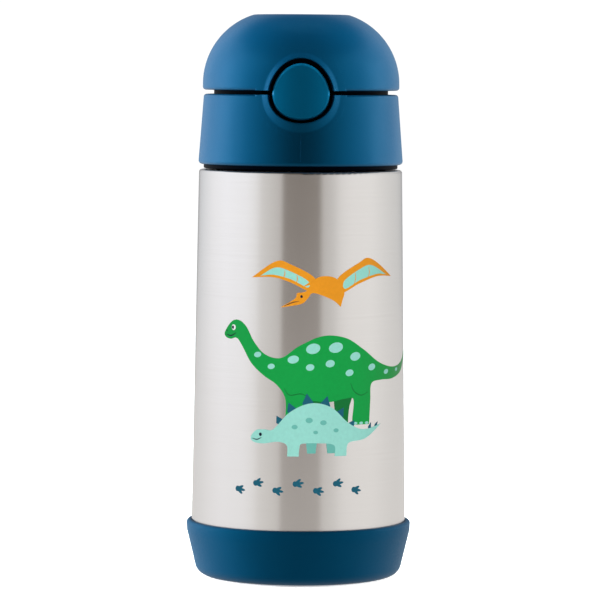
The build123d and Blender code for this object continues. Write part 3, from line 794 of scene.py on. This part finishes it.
def footprint_shapes():
    """A trail of three-toed footprints, left and right in turn."""
    toe_height, heel_height = 0.040, 0.041
    first_u, stride, trail_z, above, below = -21.5, 6.8, 33.0, 1.6, -0.6
    heading, splay = -90, 9
    # each toe: its angle from the heading and its reach; the shares are of the reach
    toes = [(-34, 2.1), (0, 2.5), (34, 2.1)]
    toe_half_width, middle_share, half_length_share = 0.48, 0.55, 0.62
    heel_half = (0.95, 0.85)
    points = 16
    shapes = []
    for step in range(7):
        u = first_u + stride * step
        z = trail_z + (above if step % 2 else below)
        lean = heading + (splay if step % 2 else -splay)
        for spread, reach in toes:
            angle = radians(lean + spread)
            middle = (u - reach * sin(angle) * middle_share, z + reach * cos(angle) * middle_share)
            toe = oval(*middle, toe_half_width, reach * half_length_share, lean + spread, points)
            shapes.append((toe, toe_height, "teal"))
        shapes.append((oval(u, z, *heel_half, lean, points), heel_height, "teal"))
    return shapes


def add_prints():
    """All the pictures printed on the steel."""
    inks = {
        "orange": printed_ink("ink_orange", (0.78, 0.30, 0.016)),
        "green": printed_ink("ink_green", (0.006, 0.330, 0.060)),
        "deep_green": printed_ink("ink_deep_green", (0.006, 0.160, 0.035)),
        "mint": printed_ink("ink_mint", (0.30, 0.68, 0.60)),
        "deep_mint": printed_ink("ink_deep_mint", (0.14, 0.46, 0.40)),
        "teal": printed_ink("ink_teal", (0.012, 0.110, 0.170)),
        "navy": printed_ink("ink_navy", (0.008, 0.014, 0.030)),
        "white": printed_ink("ink_white", (0.85, 0.87, 0.86)),
    }
    return [
        add_print("print_longneck", longneck_shapes(), inks),
        add_print("print_plated", plated_shapes(), inks),
        add_print("print_flyer", flyer_shapes(), inks),
        add_print("print_footprints", footprint_shapes(), inks),
    ]


# ---------------------------------------------------------------- stage and light
# in metres; the floor's own glow grows from its first strength to its second over a span of distances from
# the bottle's axis, so that the floor is darker round the bottle's foot: painted shade
FLOOR_HALF = 6.0
FLOOR_GREY = 0.86
FLOOR_GLOW_STRENGTH = (0.45, 0.9)
FLOOR_GLOW_SPAN = (0.05, 0.6)
RING_RADIUS = 0.9
RING_TOP = 0.9
RING_BOTTOM = -1.4
RING_STEPS = 120

# the world's levels: to the camera, in mirror images and on matt surfaces, with the spans of upwardness
# over which each goes from the floor's level to the ceiling's
SKY_SEEN = 1.04
CEILING_MIRRORED = 0.05
FLOOR_MIRRORED = 0.95
MIRRORED_SPAN = (-0.1, 0.2)
CEILING_FILL = 0.16
FLOOR_FILL = 0.28
FILL_SPAN = (-0.2, 0.2)

# the glow that the ring has low down, its share there and the heights over which it fades out
LOW_GLOW = (0.87, 0.835, 0.80)
LOW_GLOW_SHARE = 0.66
LOW_GLOW_SPAN = (-0.03, 0.085)

# where the soft lights stand (height, distance from the axis) and their size across and up
SIDE = {"height": 0.20, "distance": 0.9, "width": 0.5, "tall": 0.7}
LOW_SIDE = {"height": 0.10, "distance": 0.9, "width": 0.5, "tall": 0.4}
OVERHEAD = {"height": 1.1, "distance": 0.25, "width": 0.5, "tall": 0.5}
IN_FRONT = {"height": 0.3, "distance": 1.5, "width": 1.4, "tall": 0.8}
HIGH_FRONT = {"height": 1.0, "distance": 0.8, "width": 0.8, "tall": 0.5}
LOW_FRONT = {"height": 0.06, "distance": 0.8, "width": 0.8, "tall": 0.1}
SIDE_ANGLE = 100
BACK_ANGLE = 180
COOL = (0.97, 0.98, 1.0)
WARM = (1.0, 0.99, 0.97)
WHITE = (1, 1, 1)
SEA_BLUE = (0.6, 0.95, 1.0)

# light that the steel mirrors: angle from the camera's side in degrees, then a colour; two close angles
# make the edge of a panel
REFLECTED = [
    (-180, (0.36, 0.36, 0.37)),
    (-162, (0.40, 0.40, 0.41)),
    (-158, (0.60, 0.61, 0.63)),
    (-138, (0.84, 0.86, 0.89)),
    (-112, (1.10, 1.11, 1.15)),
    (-90, (1.19, 1.205, 1.26)),
    (-62, (1.14, 1.15, 1.19)),
    (-50, (1.02, 1.02, 1.03)),
    (-43, (0.80, 0.785, 0.77)),
    (-31, (0.69, 0.67, 0.65)),
    (-21, (0.60, 0.575, 0.55)),
    (-18, (0.195, 0.165, 0.140)),
    (0, (0.182, 0.152, 0.128)),
    (21, (0.205, 0.174, 0.148)),
    (25, (0.58, 0.555, 0.53)),
    (36, (0.68, 0.66, 0.64)),
    (46, (0.90, 0.88, 0.86)),
    (58, (0.99, 0.97, 0.95)),
    (84, (1.01, 0.995, 0.975)),
    (108, (0.87, 0.86, 0.845)),
    (138, (0.72, 0.715, 0.705)),
    (158, (0.54, 0.54, 0.545)),
    (162, (0.40, 0.40, 0.41)),
    (180, (0.36, 0.36, 0.37)),
]


def surround_glow():
    """The surround's light by direction, blended low down with the light that comes back from the floor."""
    material = bpy.data.materials.new("surround")
    material.use_nodes = True
    tree = material.node_tree
    tree.nodes.clear()
    place = tree.nodes.new("ShaderNodeNewGeometry")
    split = tree.nodes.new("ShaderNodeSeparateXYZ")
    tree.links.new(place.outputs["Position"], split.inputs["Vector"])
    toward = add_node(tree, "ShaderNodeMath", operation="MULTIPLY")
    toward.inputs[1].default_value = -1.0
    tree.links.new(split.outputs["Y"], toward.inputs[0])
    angle = add_node(tree, "ShaderNodeMath", operation="ARCTAN2")
    tree.links.new(split.outputs["X"], angle.inputs[0])
    tree.links.new(toward.outputs["Value"], angle.inputs[1])
    ramp = tree.nodes.new("ShaderNodeValToRGB")
    stops = ramp.color_ramp.elements
    while len(stops) < len(REFLECTED):
        stops.new(0.5)
    for stop, (degrees_round, _) in zip(stops, REFLECTED):
        stop.position = (degrees_round + 180) / 360
    for stop, (_, colour) in zip(stops, REFLECTED):
        stop.color = (*colour, 1)
    tree.links.new(remap(tree, angle.outputs["Value"], 0.0, 1.0, -pi, pi), ramp.inputs["Fac"])
    blend = add_node(tree, "ShaderNodeMixRGB")
    blend.inputs["Color2"].default_value = (*LOW_GLOW, 1)
    share = remap(tree, split.outputs["Z"], LOW_GLOW_SHARE, 0.0, *LOW_GLOW_SPAN)
    tree.links.new(share, blend.inputs["Fac"])
    tree.links.new(ramp.outputs["Color"], blend.inputs["Color1"])
    emission = tree.nodes.new("ShaderNodeEmission")
    tree.links.new(blend.outputs["Color"], emission.inputs["Color"])
    output = tree.nodes.new("ShaderNodeOutputMaterial")
    tree.links.new(emission.outputs["Emission"], output.inputs["Surface"])
    return material


def add_surround():
    """An upright ring of panels that only shiny surfaces see."""
    corners = []
    for step in range(RING_STEPS):
        angle = 2 * pi * step / RING_STEPS
        x, y = RING_RADIUS * sin(angle), RING_RADIUS * cos(angle)
        corners += [(x, y, RING_BOTTOM), (x, y, RING_TOP)]
    faces = []
    for step in range(RING_STEPS):
        here, there = 2 * step, 2 * ((step + 1) % RING_STEPS)
        faces.append((here, there, there + 1, here + 1))
    mesh = bpy.data.meshes.new("surround")
    mesh.from_pydata(corners, [], faces)
    mesh.materials.append(surround_glow())
    ring = bpy.data.objects.new("surround", mesh)
    bpy.context.collection.objects.link(ring)
    ring.visible_camera = False
    ring.visible_diffuse = False
    ring.visible_shadow = False
    ring.visible_transmission = False


def add_area(name, azimuth, power, colour, height, distance, width, tall):
    """A soft light aimed at the middle of the bottle, which leaves no mirror image."""
    data = bpy.data.lights.new(name, "AREA")
    data.shape = "RECTANGLE"
    data.size = width
    data.size_y = tall
    data.energy = power
    data.color = colour
    light = bpy.data.objects.new(name, data)
    angle = radians(azimuth)
    light.location = (distance * sin(angle), -distance * cos(angle), height)
    aim = Vector((0, 0, cad_high.z / 2)) - light.location
    light.rotation_euler = aim.to_track_quat("-Z", "Y").to_euler()
    bpy.context.collection.objects.link(light)
    light.visible_camera = False
    light.visible_glossy = False
    return light


def add_floor():
    """A pale floor that glows, weaker near the bottle, which paints a soft shade round its foot. The bottle
    takes the floor's light from the world and the surround instead.
    """
    mesh = bpy.data.meshes.new("floor")
    h = FLOOR_HALF
    mesh.from_pydata([(-h, -h, 0), (h, -h, 0), (h, h, 0), (-h, h, 0)], [], [(0, 1, 2, 3)])
    floor = bpy.data.objects.new("floor", mesh)
    bpy.context.collection.objects.link(floor)
    material, tree, shader = new_material("floor")
    shader.inputs["Base Color"].default_value = (FLOOR_GREY, FLOOR_GREY, FLOOR_GREY, 1)
    shader.inputs["Roughness"].default_value = 0.9
    shader.inputs["Specular IOR Level"].default_value = 0.0
    shader.inputs["Emission Color"].default_value = (1, 1, 1, 1)
    place = tree.nodes.new("ShaderNodeTexCoord")
    reach = add_node(tree, "ShaderNodeVectorMath", operation="LENGTH")
    tree.links.new(place.outputs["Object"], reach.inputs[0])
    # the glow is weaker near the bottle's axis: painted shade round its foot
    glow = remap(tree, reach.outputs["Value"], *FLOOR_GLOW_STRENGTH, *FLOOR_GLOW_SPAN)
    tree.links.new(glow, shader.inputs["Emission Strength"])
    mesh.materials.append(material)
    floor.visible_diffuse = False
    floor.visible_glossy = False


def blend_levels(tree, share, first, second):
    """Goes from one level to another by a share. Each level is a number or a node's output."""
    node = add_node(tree, "ShaderNodeMix", data_type="FLOAT")
    # of a Mix node's sockets the first is the share of numbers, and the third and fourth are the numbers
    tree.links.new(share, node.inputs[0])
    for socket, level in ((node.inputs[2], first), (node.inputs[3], second)):
        if isinstance(level, float):
            socket.default_value = level
        else:
            tree.links.new(level, socket)
    return node.outputs[0]


def add_world():
    """White for the camera. Surfaces get a dim ceiling and a brighter glow from the floor's side."""
    world = bpy.data.worlds.new("studio")
    bpy.context.scene.world = world
    world.use_nodes = True
    # surfaces meet the world only along their own rays, so that each kind of ray gets its own level
    world.cycles.sampling_method = "NONE"
    tree = world.node_tree
    background = tree.nodes["Background"]
    background.inputs["Color"].default_value = (1, 1, 1, 1)
    path = tree.nodes.new("ShaderNodeLightPath")
    place = tree.nodes.new("ShaderNodeTexCoord")
    split = tree.nodes.new("ShaderNodeSeparateXYZ")
    tree.links.new(place.outputs["Generated"], split.inputs["Vector"])
    mirrored = remap(tree, split.outputs["Z"], FLOOR_MIRRORED, CEILING_MIRRORED, *MIRRORED_SPAN)
    filled = remap(tree, split.outputs["Z"], FLOOR_FILL, CEILING_FILL, *FILL_SPAN)
    level = blend_levels(tree, path.outputs["Is Glossy Ray"], SKY_SEEN, mirrored)
    level = blend_levels(tree, path.outputs["Is Diffuse Ray"], level, filled)
    tree.links.new(level, background.inputs["Strength"])


def light_only(light, pieces):
    """Makes a light reach these pieces and nothing else."""
    reached = bpy.data.collections.new(f"{light.name}_reached")
    for piece in pieces:
        reached.objects.link(piece)
    light.light_linking.receiver_collection = reached


def shade_from(light, pieces):
    """Keeps a light off these pieces."""
    shaded = bpy.data.collections.new(f"{light.name}_shaded")
    for piece in pieces:
        shaded.objects.link(piece)
    light.light_linking.receiver_collection = shaded
    for link in shaded.collection_objects:
        link.light_linking.link_state = "EXCLUDE"


def add_studio(prints, dome):
    """Floor, surround and soft lights. Some lights reach only the pieces that are named."""
    bpy.context.scene.view_settings.view_transform = "Standard"
    add_world()
    add_floor()
    add_surround()
    boot = frame["nodes"]["silicone_boot"]
    button = frame["nodes"]["release_button"]
    pale = [frame["nodes"][name] for name in ("spout", "straw", "spout_seal_pad", "vent_valve")]
    dark = [frame["nodes"][name] for name in ("threaded_insert", "lid_liner", "latch_frame")]
    unlit = [*prints, *pale, *dark, boot]
    shade_from(add_area("side_left", -SIDE_ANGLE, power=38.0, colour=COOL, **SIDE), unlit)
    shade_from(add_area("side_right", SIDE_ANGLE, power=31.0, colour=WARM, **SIDE), unlit)
    shade_from(add_area("top", BACK_ANGLE, power=10.0, colour=SEA_BLUE, **OVERHEAD), pale)
    light_only(add_area("front", 0, power=30.0, colour=WHITE, **IN_FRONT), [*prints, *pale])
    light_only(add_area("pale_top", BACK_ANGLE, power=9.0, colour=WHITE, **OVERHEAD), pale)
    light_only(add_area("front_dome", 0, power=4.3, colour=WHITE, **HIGH_FRONT), [dome, button])
    light_only(add_area("boot_front", 0, power=1.8, colour=WHITE, **LOW_FRONT), [boot])
    light_only(add_area("boot_left", -SIDE_ANGLE, power=22.0, colour=COOL, **LOW_SIDE), [boot])
    light_only(add_area("boot_right", SIDE_ANGLE, power=10.0, colour=WARM, **LOW_SIDE), [boot])


# ---------------------------------------------------------------- build
add_camera()
materials = make_materials()
dress_cad_nodes(materials)
dome = add_lip("lid_shell")
add_lip("collar_shell")
add_mould_line()
add_grip_rings()
add_button_spring()
add_lid_spring()
prints = add_prints()
add_studio(prints, dome)
